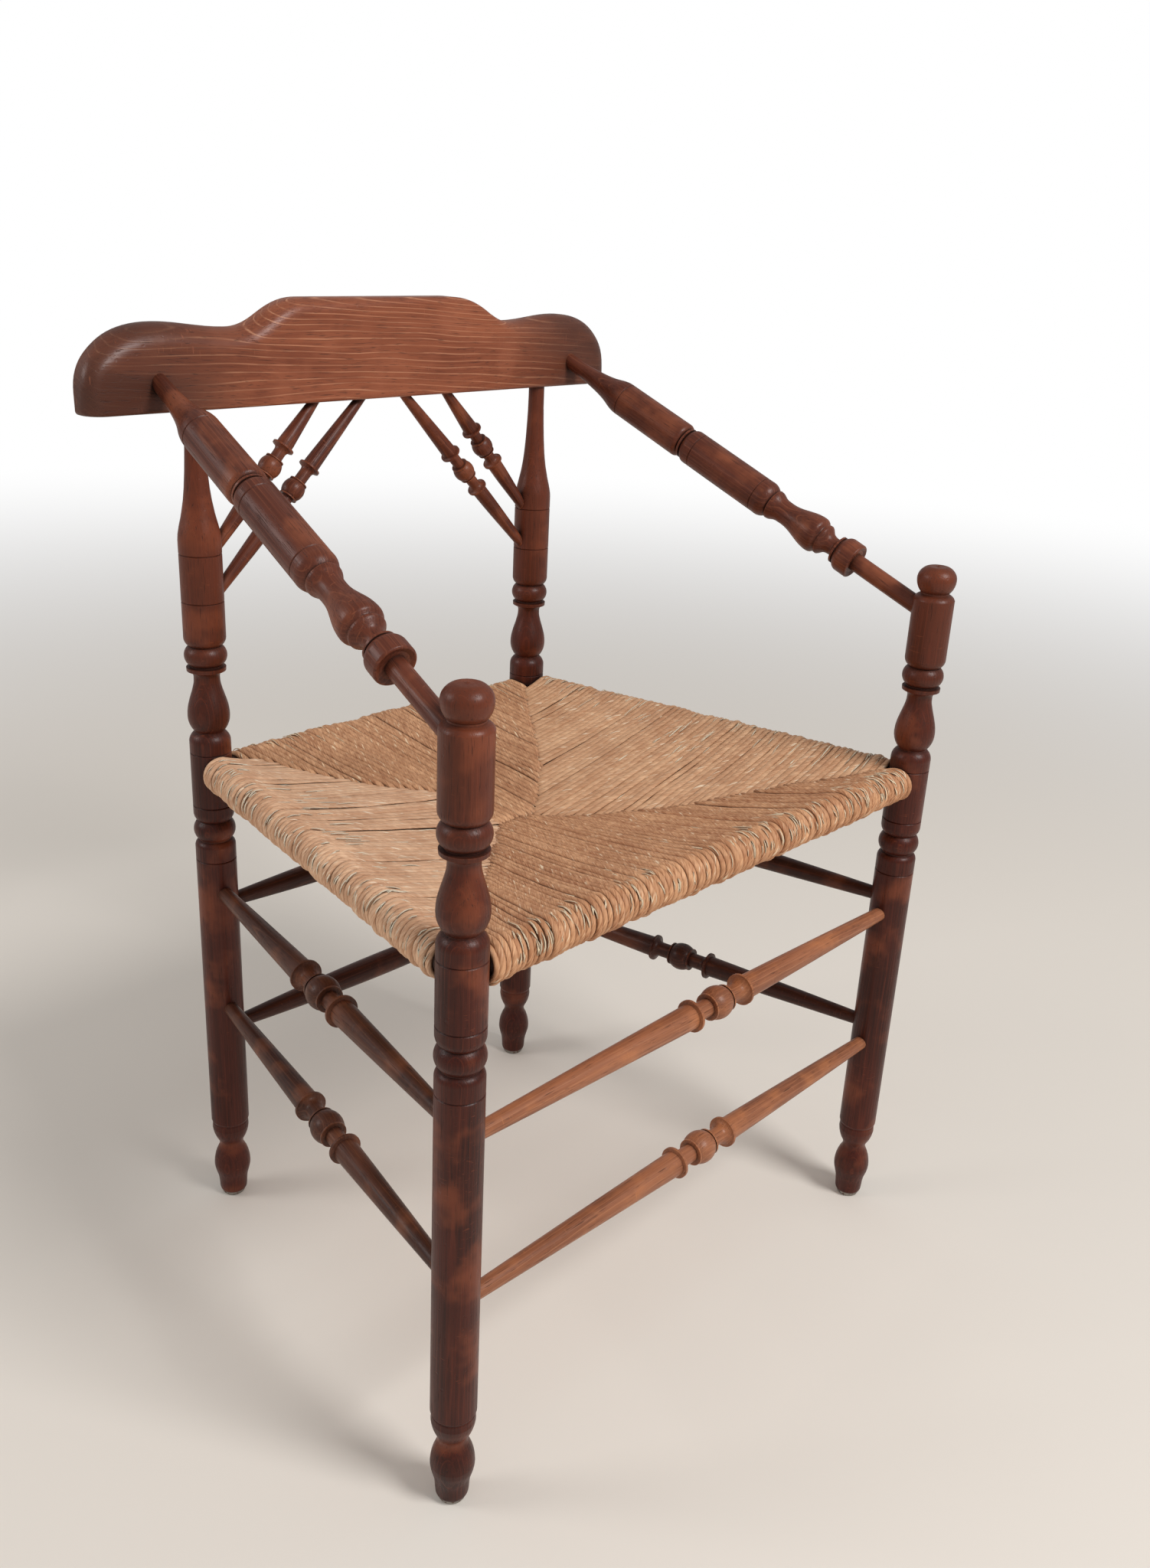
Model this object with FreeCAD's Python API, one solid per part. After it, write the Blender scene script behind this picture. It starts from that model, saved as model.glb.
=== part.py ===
"""Corner chair: four turned posts, a plank crest rail, two sloping turned arms, four slanting
back spindles, eight turned stretchers and a rush seat on four hidden rails.
Millimetres, +Z up, the front faces -Y, left is -X, the floor is at Z = 0."""
import FreeCAD, Part
import math
import os

V = FreeCAD.Vector
UP = V(0, 0, 1)

# Plan of the frame, between the axes of the posts
FRONT_SPAN = 529.0
BACK_SPAN = 376.0
DEPTH = 413.0

# Posts, with the heights of what is turned on them
POST_R = 17.4
SEAT_Z = 449.0            # axis of the front seat rail above the floor
ARM_RISE = 150.0          # from there up to the arm's axis in the front post
KNOB_RISE = 43.5          # from the arm's axis to the top of the knob
KNOB_R = 16.5
KNOB_NECK_R = 12.2        # groove under the knob
NECK_R = 10.8             # waist of the vase above the seat
BEAD_R = 17.9
FOOT_R = 16.9
FOOT_TIP_R = 11.9
FOOT_HEIGHT = 86.0        # floor to the start of the plain shaft
ANKLE_R = 11.0
BACK_NECK_R = 7.5         # back post where it meets the crest rail
BACK_TAPER = 105.0        # length of the back post's slim top

# Glides under the feet
GLIDE_R = 10.6
GLIDE_THICK = 4.8
GLIDE_PIN_R = 1.5
GLIDE_PIN_LENGTH = 14.0

# Crest rail, which sits a little off the middle and out of level, its left end low
CREST_BOTTOM = 747.0      # under its middle
CREST_SHIFT = -1.8
CREST_TILT = 0.5          # degrees
CREST_HEIGHT = 82.5       # at its raised middle
CREST_THICK = 24.0
CREST_HALF = 278.7
CREST_FLAT_LEFT = 81.0    # raised middle, from the rail's own middle to its left end
CREST_FLAT_RIGHT = 72.0   # and to its right end
CREST_SCOOP_X = 149.0     # lowest place of the scoop beside it
CREST_SCOOP_DROP = 22.0
CREST_EAR_X = 213.0       # highest place of the ear
CREST_EAR_DROP = 17.0
CREST_MIDDLE_ROUND = 4.0  # front edge, soft at the middle and broad at the ears
CREST_EAR_ROUND = 18.5
CREST_BACK_ROUND = 3.0
CREST_CORNER = 3.0        # round the ends of the bottom edge

# Arms
ARM_BACK_X = 221.5        # where the axis enters the front face of the crest rail
ARM_BACK_RISE = 22.3      # above the underside of the crest rail
ARM_R = 16.2
ARM_ROD_R = 7.8
ARM_NECK_R = 6.9
ARM_TENON_R = 6.2

# Back spindles
SPINDLE_OUTER_X = 72.5    # under the crest rail
SPINDLE_INNER_X = 24.0
SPINDLE_OUTER_RISE = 20.0 # in the back post, above the arm's height in the front post
SPINDLE_PITCH = 36.0      # from the outer spindle's end down to the inner one's
SPINDLE_R = 7.0
SPINDLE_BALL_R = 9.7
SPINDLE_FLANGE_R = 9.5
SPINDLE_WAIST_R = 5.2
SPINDLE_END_R = 4.1
SPINDLE_TENON_R = 3.4

# Stretchers
LOW_Z = 181.0             # front stretchers; the others lie a little above or below them
HIGH_Z = 319.0
LEFT_LOW_RISES = (33.0, 17.0)    # at the back post and at the front post
LEFT_HIGH_RISES = (11.0, 10.0)
RIGHT_LOW_RISE = 15.0
RIGHT_HIGH_RISE = 12.0
BACK_LOW_RISE = 4.0
BACK_HIGH_RISE = -6.0
STRETCHER_R = 10.3
STRETCHER_END_R = 6.2
STRETCHER_BALL_R = 13.8
STRETCHER_FLANGE_R = 13.3
STRETCHER_WAIST_R = 7.4
STRETCHER_FLANGE_GAP = 31.5      # from the middle of the ball to either flange
BACK_STRETCHER_R = 11.5          # middle of the plain back stretchers
STRETCHER_TENON_R = 5.0

# Seat rails, hidden in the rush
RAIL_R = 9.5
RAIL_TENON_R = 6.5
BACK_RAIL_DROP = 9.0      # back rail below the front one
SIDE_RAIL_DROP = 0.5      # side rails below the front one, at the front posts
SIDE_RAIL_FALL = 4.0      # and how much they fall towards the back

# Rush seat
RUSH_THICK = 5.2          # one layer of cord round a rail
SEAT_SAG = 44.0           # from the top of the front roll down to the middle
SEAT_MIDDLE_THICK = 20.0
RIDGE_X = -9.5            # middle of the short seam that joins the side panels
RIDGE_Y = 7.0
RIDGE_HALF = 21.5

# Fits
TENON_CLEAR = 0.1         # round a tenon and at its shoulder
TENON_END_CLEAR = 0.5     # between a tenon's tip and the end of its socket
TENON_DEPTH = 13.5
CREST_TENON_DEPTH = 13.0
POST_TENON_R = 6.5
POST_TENON_LENGTH = 30.0
SOFT_CLEAR = 0.3          # between the rush and the wood
SCRIBE = 0.75             # depth and half width of a scribed line

CREST_TOP = CREST_BOTTOM + CREST_HEIGHT
CREST_FRONT_Y = DEPTH / 2 - CREST_THICK / 2
ARM_Z = SEAT_Z + ARM_RISE
BACK_SHOULDER_Z = CREST_BOTTOM - BACK_TAPER
ROLL_R = RAIL_R + SOFT_CLEAR + RUSH_THICK

POST_XY = {
    "front_left": (-FRONT_SPAN / 2, -DEPTH / 2),
    "front_right": (FRONT_SPAN / 2, -DEPTH / 2),
    "back_left": (-BACK_SPAN / 2, DEPTH / 2),
    "back_right": (BACK_SPAN / 2, DEPTH / 2),
}


class Turning:
    """Outline of a turned piece, drawn along its axis as pairs of radius and place."""

    def __init__(self, radius, place=0.0):
        self.start = self.at = (radius, place)
        self.edges = []

    @staticmethod
    def point(pair):
        return V(pair[0], 0, pair[1])

    def line(self, radius, place):
        """Straight to a radius at a place."""
        self.edges.append(Part.LineSegment(self.point(self.at), self.point((radius, place))).toShape())
        self.at = (radius, place)
        return self

    def arc(self, middle, end):
        """Round through one point to another."""
        ends = [self.point(pair) for pair in (self.at, middle, end)]
        self.edges.append(Part.Arc(*ends).toShape())
        self.at = end
        return self

    def bead(self, end, crown):
        """Bulge to the given radius halfway to the end."""
        return self.arc((crown, (self.at[1] + end[1]) / 2), end)

    def flow(self, *points, level_start=False, level_end=False):
        """Smooth curve through the points, running with the axis at an end that is level."""
        curve = Part.BSplineCurve()
        path = [self.point(self.at)] + [self.point(pair) for pair in points]
        ends = {}
        if level_start or level_end:
            chord = (path[-1] - path[0]).normalize()
            ends["InitialTangent"] = UP if level_start else chord
            ends["FinalTangent"] = UP if level_end else chord
        curve.interpolate(Points=path, **ends)
        self.edges.append(curve.toShape())
        self.at = points[-1]
        return self

    def scribe(self, place):
        """Fine line cut round a plain stretch."""
        radius = self.at[0]
        self.line(radius, place - SCRIBE)
        self.line(radius - SCRIBE, place)
        return self.line(radius, place + SCRIBE)

    def solid(self):
        edges = list(self.edges)
        bottom, top = self.point((0, self.start[1])), self.point((0, self.at[1]))
        if self.at[0] > 0:
            edges.append(Part.LineSegment(self.point(self.at), top).toShape())
        edges.append(Part.LineSegment(top, bottom).toShape())
        if self.start[0] > 0:
            edges.append(Part.LineSegment(bottom, self.point(self.start)).toShape())
        face = Part.Face(Part.Wire(edges))
        return face.revolve(V(0, 0, 0), UP, 360)


def laid(shape, start, end):
    """A piece made along +Z, laid with its axis from one point towards another."""
    turn = FreeCAD.Rotation(UP, end - start)
    shape.Placement = FreeCAD.Placement(start, turn)
    return shape


def rod(start, end, radius):
    return Part.makeCylinder(radius, (end - start).Length, start, end - start)


def crest_underside(x):
    """Height of the crest rail's tilted underside."""
    return CREST_BOTTOM + (x - CREST_SHIFT) * math.tan(math.radians(CREST_TILT))


def hung(shape):
    """A shape drawn with a level, centred crest rail, moved to where the rail really sits."""
    moved = shape.copy()
    moved.rotate(V(0, 0, CREST_BOTTOM), V(0, 1, 0), -CREST_TILT)
    moved.translate(V(CREST_SHIFT, 0, 0))
    return moved


def post_axis_point(name, height):
    x, y = POST_XY[name]
    return V(x, y, height)


def to_surface(direction, radius=POST_R):
    """Distance from a post's axis to its face, along a slanting member."""
    flat = math.hypot(direction.x, direction.y) / direction.Length
    return radius / flat


def post_envelope(name, clear):
    """Plain round post with some room, to cope the pieces that meet it."""
    x, y = POST_XY[name]
    return Part.makeCylinder(POST_R + clear, CREST_TOP, V(x, y, 0))


class Joint:
    """End of a member: its tenon, the socket for it, and the face that its shoulder meets."""

    def __init__(self, host, mouth, outward, radius, depth, cope):
        outward = V(outward).normalize()
        self.host = host
        self.cope = cope
        tip = mouth - outward * depth
        inside = mouth + outward * (radius + TENON_CLEAR)
        self.tenon = rod(tip, inside, radius)
        self.socket = rod(tip - outward * TENON_END_CLEAR, inside, radius + TENON_CLEAR)


def post_joint(post, seat, towards, radius, depth=TENON_DEPTH):
    """Joint in a post, for a member whose axis leaves the post's axis at a height."""
    outward = (towards - seat).normalize()
    mouth = seat + outward * to_surface(outward)
    return Joint("post_" + post, mouth, outward, radius, depth, post_envelope(post, TENON_CLEAR))


def crest_joint(mouth, towards, radius, face):
    """Joint in the crest rail, through its front face or its underside."""
    reach = 2 * CREST_HALF
    if face == "front":
        corner = V(-reach, CREST_FRONT_Y - TENON_CLEAR, 0)
    else:
        corner = V(-reach, -reach, CREST_BOTTOM - TENON_CLEAR)
    block = hung(Part.makeBox(2 * reach, 2 * reach, 2 * reach, corner))
    return Joint("crest_rail", mouth, towards - mouth, radius, CREST_TENON_DEPTH, block)


def jointed(body, joints):
    """A member coped to what it meets, with its tenons."""
    for joint in joints:
        body = body.cut(joint.cope)
    for joint in joints:
        body = body.fuse(joint.tenon)
    return body


def post_lower_outline():
    """Foot, ankle, shaft, seat block and vase: the same on all four posts."""
    shaft_top = SEAT_Z - 77
    foot_top = FOOT_HEIGHT
    line = Turning(FOOT_TIP_R, GLIDE_THICK)
    line.line(FOOT_TIP_R + 0.6, GLIDE_THICK + 1.5)
    line.flow((FOOT_TIP_R + 1.9, foot_top - 66), (FOOT_R, foot_top - 51), level_end=True)
    line.arc((FOOT_R - 1.3, foot_top - 41.5), (ANKLE_R + 0.8, foot_top - 32))
    line.arc((ANKLE_R, foot_top - 28.5), (ANKLE_R + 1.2, foot_top - 23.5))
    line.arc((POST_R - 1.9, foot_top - 16), (POST_R - 0.6, foot_top - 9))
    line.line(POST_R - 1.0, foot_top - 4)
    line.line(POST_R - 1.4, foot_top - 3)
    line.line(POST_R, foot_top)
    line.scribe(shaft_top - 12)
    line.line(POST_R, shaft_top)
    line.arc((POST_R - 1.0, shaft_top + 4), (POST_R - 3.6, shaft_top + 6.4))
    line.line(POST_R - 3.6, shaft_top + 7.2)
    line.bead((POST_R - 3.4, shaft_top + 25), BEAD_R)
    line.arc((POST_R - 1.0, shaft_top + 28), (POST_R, shaft_top + 32.5))
    line.scribe(shaft_top + 39.5)
    line.scribe(SEAT_Z + 11)
    line.line(POST_R, SEAT_Z + 19.5)
    line.arc((POST_R - 1.5, SEAT_Z + 26), (POST_R - 5.0, SEAT_Z + 29.6))
    line.line(POST_R - 5.0, SEAT_Z + 30.2)
    line.arc((POST_R - 1.8, SEAT_Z + 35), (POST_R + 0.2, SEAT_Z + 44))
    line.flow((POST_R - 2.1, SEAT_Z + 58), (NECK_R + 0.7, SEAT_Z + 71), (NECK_R, SEAT_Z + 78),
              level_start=True, level_end=True)
    line.arc((NECK_R + 1.2, SEAT_Z + 81.6), (POST_R - 2.2, SEAT_Z + 83.6))
    line.line(POST_R - 1.2, SEAT_Z + 83.8)
    line.line(POST_R - 1.0, SEAT_Z + 86.8)
    line.line(POST_R - 4.2, SEAT_Z + 87.6)
    line.line(POST_R - 4.2, SEAT_Z + 88.4)
    line.bead((POST_R - 4.0, SEAT_Z + 105.4), BEAD_R - 0.2)
    line.arc((POST_R - 1.1, SEAT_Z + 108.4), (POST_R, SEAT_Z + 112.5))
    return line


def front_post():
    """Front post, which ends in a knob above the arm."""
    top = ARM_Z + KNOB_RISE
    line = post_lower_outline()
    line.line(POST_R, ARM_Z + 14.5)
    line.arc((POST_R - 1.1, ARM_Z + 16.6), (POST_R - 3.6, ARM_Z + 18.5))
    line.line(KNOB_NECK_R, ARM_Z + 19.5)
    line.line(KNOB_NECK_R, ARM_Z + 20.6)
    line.arc((KNOB_R - 1.6, ARM_Z + 24.6), (KNOB_R, ARM_Z + 31.5))
    line.flow((KNOB_R - 2.4, top - 4.8), (KNOB_R - 8.5, top - 0.9), (0, top), level_start=True)
    return line.solid()


def back_post(rail_z):
    """Back post, which tapers to a tenon under the crest rail."""
    line = post_lower_outline()
    line.scribe(ARM_Z - 7)
    line.scribe(ARM_Z + 32.5)
    line.line(POST_R, BACK_SHOULDER_Z)
    line.flow((POST_R - 2.2, BACK_SHOULDER_Z + 14), (POST_R - 5.6, BACK_SHOULDER_Z + 30),
              (BACK_NECK_R + 2.3, BACK_SHOULDER_Z + 46), (BACK_NECK_R + 0.6, BACK_SHOULDER_Z + 74),
              (BACK_NECK_R, rail_z - 2 * TENON_CLEAR), level_start=True, level_end=True)
    line.line(POST_TENON_R, rail_z - 2 * TENON_CLEAR)
    line.line(POST_TENON_R, rail_z + POST_TENON_LENGTH)
    return line.solid()


def post(name, sockets):
    """One post at its place, drilled for the members and the glide's pin."""
    x, y = POST_XY[name]
    shape = front_post() if name.startswith("front") else back_post(crest_underside(x))
    shape.translate(V(x, y, 0))
    pin_hole = Part.makeCylinder(GLIDE_PIN_R + TENON_CLEAR, GLIDE_PIN_LENGTH + TENON_END_CLEAR,
                                 V(x, y, GLIDE_THICK))
    return shape.cut(Part.makeCompound(sockets + [pin_hole]))


def glide(name):
    """Steel glide: a domed disc on the floor and the pin that holds it in the foot."""
    line = Turning(GLIDE_R - 2.0, 0)
    line.arc((GLIDE_R - 0.6, 0.7), (GLIDE_R, 2.2))
    line.line(GLIDE_R, GLIDE_THICK)
    line.line(GLIDE_PIN_R, GLIDE_THICK)
    line.line(GLIDE_PIN_R, GLIDE_THICK + GLIDE_PIN_LENGTH)
    shape = line.solid()
    x, y = POST_XY[name]
    shape.translate(V(x, y, 0))
    return shape


def crest_flat(side):
    """Half length of the raised middle, which is a little shorter on the right."""
    return CREST_FLAT_LEFT if side < 0 else CREST_FLAT_RIGHT


def crest_stations(side):
    """Places along the top of half the crest rail, from the raised middle over the scoop and the
    ear to the end: distance from the middle, height, slope and rounding of the front edge."""
    flat = crest_flat(side)
    brow = flat + 0.57 * (CREST_SCOOP_X - flat)
    shoulder = CREST_EAR_X + 0.71 * (CREST_HALF - CREST_EAR_X)
    shoulder_drop = CREST_EAR_DROP + 0.2 * (CREST_HALF - CREST_EAR_X)
    end_z = CREST_BOTTOM + 0.2 * CREST_HEIGHT
    soft, broad = CREST_MIDDLE_ROUND, CREST_EAR_ROUND
    return [
        (flat, CREST_TOP, 0.0, soft),
        (brow, CREST_TOP - 0.57 * CREST_SCOOP_DROP, 0.6, (soft + 1.2 * broad) / 2),
        (CREST_SCOOP_X, CREST_TOP - CREST_SCOOP_DROP, 0.0, 0.85 * broad),
        (CREST_EAR_X, CREST_TOP - CREST_EAR_DROP, 0.0, 0.92 * broad),
        (shoulder, CREST_TOP - shoulder_drop, 0.78, broad),
        (CREST_HALF, end_z, None, 0.92 * broad),
        (CREST_HALF, CREST_BOTTOM, None, 0.62 * broad),
    ]


def crest_half_outline(side):
    """Edges of half the crest rail, in the plane of its front face."""
    def at(x, z):
        return V(side * x, CREST_FRONT_Y, z)

    def heading(slope):
        return V(0, 0, -1) if slope is None else V(side, 0, -slope).normalize()
    stations = crest_stations(side)
    edges = []
    for (x, z, slope, _), (next_x, next_z, next_slope, _) in zip(stations[:-2], stations[1:-1]):
        curve = Part.BSplineCurve()
        curve.interpolate(Points=[at(x, z), at(next_x, next_z)],
                          InitialTangent=heading(slope), FinalTangent=heading(next_slope))
        edges.append(curve.toShape())
    end, foot = stations[-2], stations[-1]
    edges.append(Part.LineSegment(at(*end[:2]), at(*foot[:2])).toShape())
    return edges


def crest_rail(sockets):
    """Plank crest rail: its raised middle, scoops and ears in outline, its front edge rounded,
    broadly at the ears and little at the middle, and its bottom edge left crisp."""
    outline = crest_half_outline(-1) + crest_half_outline(1)
    for left, right, height in ((crest_flat(-1), crest_flat(1), CREST_TOP),
                                (CREST_HALF, CREST_HALF, CREST_BOTTOM)):
        outline.append(Part.LineSegment(V(-left, CREST_FRONT_Y, height),
                                        V(right, CREST_FRONT_Y, height)).toShape())
    face = Part.Face(Part.Wire(Part.__sortEdges__(outline)))
    plank = rounded_front(face.extrude(V(0, CREST_THICK, 0)))
    back_edges = edges_in_plane(plank, CREST_FRONT_Y + CREST_THICK)
    plank = plank.makeFillet(CREST_BACK_ROUND, [edge for _, edge in back_edges])
    plank = plank.makeFillet(CREST_CORNER, lower_corner_edges(plank))
    return hung(plank).cut(Part.makeCompound(sockets))


def lower_corner_edges(plank):
    """Short edges that bound the underside of the plank at its two ends."""
    reach = CREST_HALF - CREST_EAR_ROUND
    return [edge for edge in plank.Edges
            if edge.BoundBox.ZMax < CREST_BOTTOM + 0.01
            and edge.BoundBox.XLength < CREST_HALF
            and abs(edge.CenterOfMass.x) > reach]


def edges_in_plane(plank, plane_y):
    """Numbered edges of the plank in one upright plane, without the straight bottom edge."""
    found = []
    for number, edge in enumerate(plank.Edges, 1):
        box = edge.BoundBox
        in_plane = abs(box.YMin - plane_y) < 0.01 and abs(box.YMax - plane_y) < 0.01
        if in_plane and box.ZMax > CREST_BOTTOM + 0.01:
            found.append((number, edge))
    return found


def front_rounding(point):
    """Radius of the front edge's rounding at one end of an edge."""
    for x, z, _, radius in crest_stations(math.copysign(1, point.x)):
        if abs(abs(point.x) - x) < 0.01 and abs(point.z - z) < 0.01:
            return radius
    raise ValueError("no rounding is given at %s" % point)


def rounded_front(plank):
    """The plank with its front edge rounded by a radius that changes from place to place."""
    document = FreeCAD.newDocument()
    sharp = document.addObject("Part::Feature", "Sharp")
    sharp.Shape = plank
    soft = document.addObject("Part::Fillet", "Soft")
    soft.Base = sharp
    soft.Edges = [(number, front_rounding(edge.firstVertex(True).Point),
                   front_rounding(edge.lastVertex(True).Point))
                  for number, edge in edges_in_plane(sharp.Shape, CREST_FRONT_Y)]
    document.recompute()
    return soft.Shape.copy()


def arm(side):
    """Turned arm: neck, grooved cylinder, vase, collar and the rod that enters the front post."""
    post_name = "front_left" if side < 0 else "front_right"
    seat = post_axis_point(post_name, ARM_Z)
    back_x = side * ARM_BACK_X
    mouth = V(back_x, CREST_FRONT_Y, crest_underside(back_x) + ARM_BACK_RISE)
    length = (seat - mouth).Length
    rod_start = length - 82
    line = Turning(ARM_NECK_R, -CREST_THICK / 2)
    line.line(ARM_NECK_R, 4)
    line.flow((ARM_NECK_R + 1.9, 38), (ARM_R - 3.8, 57), (ARM_R - 0.5, 73),
              level_start=True, level_end=True)
    line.scribe(74.5)
    line.line(ARM_R - 0.2, rod_start - 210)
    line.arc((ARM_R - 1.3, rod_start - 207), (ARM_R - 4.4, rod_start - 205.4))
    line.line(ARM_R - 4.4, rod_start - 204.6)
    line.line(ARM_R - 2.0, rod_start - 204.2)
    line.line(ARM_R - 2.0, rod_start - 202.2)
    line.line(ARM_R - 4.4, rod_start - 201.8)
    line.arc((ARM_R - 1.4, rod_start - 199.4), (ARM_R - 0.1, rod_start - 195))
    line.scribe(rod_start - 188.5)
    line.line(ARM_R, rod_start - 140)
    line.scribe(rod_start - 113.5)
    line.line(ARM_R, rod_start - 109)
    line.arc((ARM_R - 1.3, rod_start - 101.6), (ARM_R - 4.8, rod_start - 97.6))
    line.line(ARM_R - 4.8, rod_start - 96.8)
    line.line(ARM_R - 2.6, rod_start - 96.4)
    line.line(ARM_R - 2.8, rod_start - 94.4)
    line.flow((ARM_R - 4.9, rod_start - 89.5), (ARM_R - 5.9, rod_start - 80), level_end=True)
    line.flow((ARM_R - 4.6, rod_start - 70), (ARM_R - 0.7, rod_start - 56),
              (ARM_R + 0.3, rod_start - 49), (ARM_R - 1.2, rod_start - 42.5),
              (ARM_R - 3.6, rod_start - 39.4), level_start=True)
    line.line(ARM_R - 2.4, rod_start - 39)
    line.line(ARM_R - 2.4, rod_start - 37.2)
    line.flow((ARM_R - 6.2, rod_start - 33), (ARM_R - 8.2, rod_start - 26.4), level_end=True)
    line.line(ARM_R - 8.2, rod_start - 25.4)
    line.arc((ARM_R - 6.6, rod_start - 22.9), (ARM_R - 3.6, rod_start - 22))
    line.line(ARM_R - 3.6, rod_start - 20.2)
    line.line(ARM_R - 4.8, rod_start - 19.8)
    line.line(ARM_R - 4.8, rod_start - 19.2)
    line.arc((ARM_R - 1.6, rod_start - 16.6), (ARM_R - 0.4, rod_start - 12))
    line.line(ARM_R - 0.4, rod_start - 3)
    line.arc((ARM_R - 0.8, rod_start - 1.8), (ARM_R - 2.0, rod_start - 1.2))
    line.line(ARM_R - 5.2, rod_start - 2.4)
    line.line(ARM_ROD_R, rod_start - 2.4)
    line.line(ARM_ROD_R, length)
    body = laid(line.solid(), mouth, seat)
    joints = [crest_joint(mouth, seat, ARM_TENON_R, "front"),
              post_joint(post_name, seat, mouth, ARM_ROD_R - 0.6)]
    return jointed(body, joints), joints


def bead_group(line, middle, ring_gap, ball_r, ring_r, waist_r, shaft_r):
    """The turned middle of a spindle or stretcher: a thin flange, a cove narrowing from it to a
    neck, a lip, a ball, and the same the other way round."""
    ring_half = 0.08 * ring_r
    cove = 0.5 * ring_r
    cove_r = waist_r + 0.3 * (ring_r - waist_r)
    ball_half = 0.73 * ball_r
    lip_r, foot_r = 0.82 * ball_r, 0.75 * ball_r
    lip_end = ball_half + 0.11 * ball_r
    flange_in, flange_out = ring_gap - ring_half, ring_gap + ring_half
    line.line(shaft_r, middle - flange_out - 0.8)
    line.line(ring_r, middle - flange_out)
    line.line(ring_r, middle - flange_in)
    line.arc((cove_r, middle - flange_in + 0.3 * cove), (waist_r, middle - flange_in + cove))
    line.line(waist_r, middle - lip_end)
    line.line(lip_r, middle - lip_end)
    line.line(lip_r, middle - ball_half)
    line.line(foot_r, middle - ball_half)
    line.bead((foot_r, middle + ball_half), ball_r)
    line.line(lip_r, middle + ball_half)
    line.line(lip_r, middle + lip_end)
    line.line(waist_r, middle + lip_end)
    line.line(waist_r, middle + flange_in - cove)
    line.arc((cove_r, middle + flange_in - 0.3 * cove), (ring_r, middle + flange_in))
    line.line(ring_r, middle + flange_out)
    line.line(shaft_r, middle + flange_out + 0.8)


def member_between(start, end, outline, joints):
    """A turned member whose outline is drawn from one end of its axis to the other."""
    return jointed(laid(outline.solid(), start, end), joints), joints


def spindle(side, place):
    """Slanting back spindle, from under the crest rail outward to the back post."""
    inner = place == "inner"
    post_name = "back_left" if side < 0 else "back_right"
    top_x = SPINDLE_INNER_X if inner else SPINDLE_OUTER_X
    seat_z = ARM_Z + SPINDLE_OUTER_RISE - (SPINDLE_PITCH if inner else 0)
    mouth = V(side * top_x, DEPTH / 2, crest_underside(side * top_x))
    seat = post_axis_point(post_name, seat_z)
    length = (seat - mouth).Length
    middle = length * (0.44 if inner else 0.40)
    ring_gap = 24.0 if inner else 20.5
    line = Turning(SPINDLE_END_R, -CREST_TENON_DEPTH)
    line.line(SPINDLE_END_R, 0)
    line.flow((SPINDLE_R - 0.9, (middle - ring_gap) * 0.62), (SPINDLE_R, middle - ring_gap - 5))
    bead_group(line, middle, ring_gap, SPINDLE_BALL_R, SPINDLE_FLANGE_R, SPINDLE_WAIST_R, SPINDLE_R)
    line.flow((SPINDLE_R - 0.9, middle + ring_gap + (length - middle - ring_gap) * 0.4),
              (SPINDLE_END_R + 0.4, length - POST_R), (SPINDLE_END_R, length))
    joints = [crest_joint(mouth, seat, SPINDLE_TENON_R, "under"),
              post_joint(post_name, seat, mouth, SPINDLE_TENON_R)]
    return member_between(mouth, seat, line, joints)


# Each stretcher: a post and the height there, the other post and the height there, and how far
# its turned middle lies off the centre, towards the second post; the back ones are plain
STRETCHERS = {
    "stretcher_front_low": ("front_left", LOW_Z, "front_right", LOW_Z, 6.0),
    "stretcher_front_high": ("front_left", HIGH_Z, "front_right", HIGH_Z, 10.0),
    "stretcher_back_low": ("back_left", LOW_Z + BACK_LOW_RISE, "back_right", LOW_Z + BACK_LOW_RISE, None),
    "stretcher_back_high": ("back_left", HIGH_Z + BACK_HIGH_RISE,
                            "back_right", HIGH_Z + BACK_HIGH_RISE, None),
    "stretcher_left_low": ("back_left", LOW_Z + LEFT_LOW_RISES[0],
                           "front_left", LOW_Z + LEFT_LOW_RISES[1], 6.0),
    "stretcher_left_high": ("back_left", HIGH_Z + LEFT_HIGH_RISES[0],
                            "front_left", HIGH_Z + LEFT_HIGH_RISES[1], 4.0),
    "stretcher_right_low": ("back_right", LOW_Z + RIGHT_LOW_RISE,
                            "front_right", LOW_Z + RIGHT_LOW_RISE, 0.0),
    "stretcher_right_high": ("back_right", HIGH_Z + RIGHT_HIGH_RISE,
                             "front_right", HIGH_Z + RIGHT_HIGH_RISE, 0.0),
}


def stretcher(name):
    """Stretcher between two posts: it swells to the bead group in its middle, or is plain."""
    first, first_z, second, second_z, shift = STRETCHERS[name]
    start, end = post_axis_point(first, first_z), post_axis_point(second, second_z)
    length = (end - start).Length
    line = Turning(STRETCHER_END_R, 0)
    line.line(STRETCHER_END_R, POST_R)
    if shift is None:
        line.flow((BACK_STRETCHER_R - 1.6, length * 0.27), (BACK_STRETCHER_R, length / 2),
                  (BACK_STRETCHER_R - 1.6, length * 0.73), (STRETCHER_END_R, length - POST_R))
    else:
        middle = length / 2 + shift
        line.flow((STRETCHER_R - 1.6, middle * 0.52), (STRETCHER_R, middle - STRETCHER_FLANGE_GAP - 6))
        bead_group(line, middle, STRETCHER_FLANGE_GAP, STRETCHER_BALL_R, STRETCHER_FLANGE_R,
                   STRETCHER_WAIST_R, STRETCHER_R)
        line.flow((STRETCHER_R - 1.6, length - (length - middle) * 0.52),
                  (STRETCHER_END_R, length - POST_R))
    line.line(STRETCHER_END_R, length)
    joints = [post_joint(first, start, end, STRETCHER_TENON_R),
              post_joint(second, end, start, STRETCHER_TENON_R)]
    return member_between(start, end, line, joints)


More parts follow.
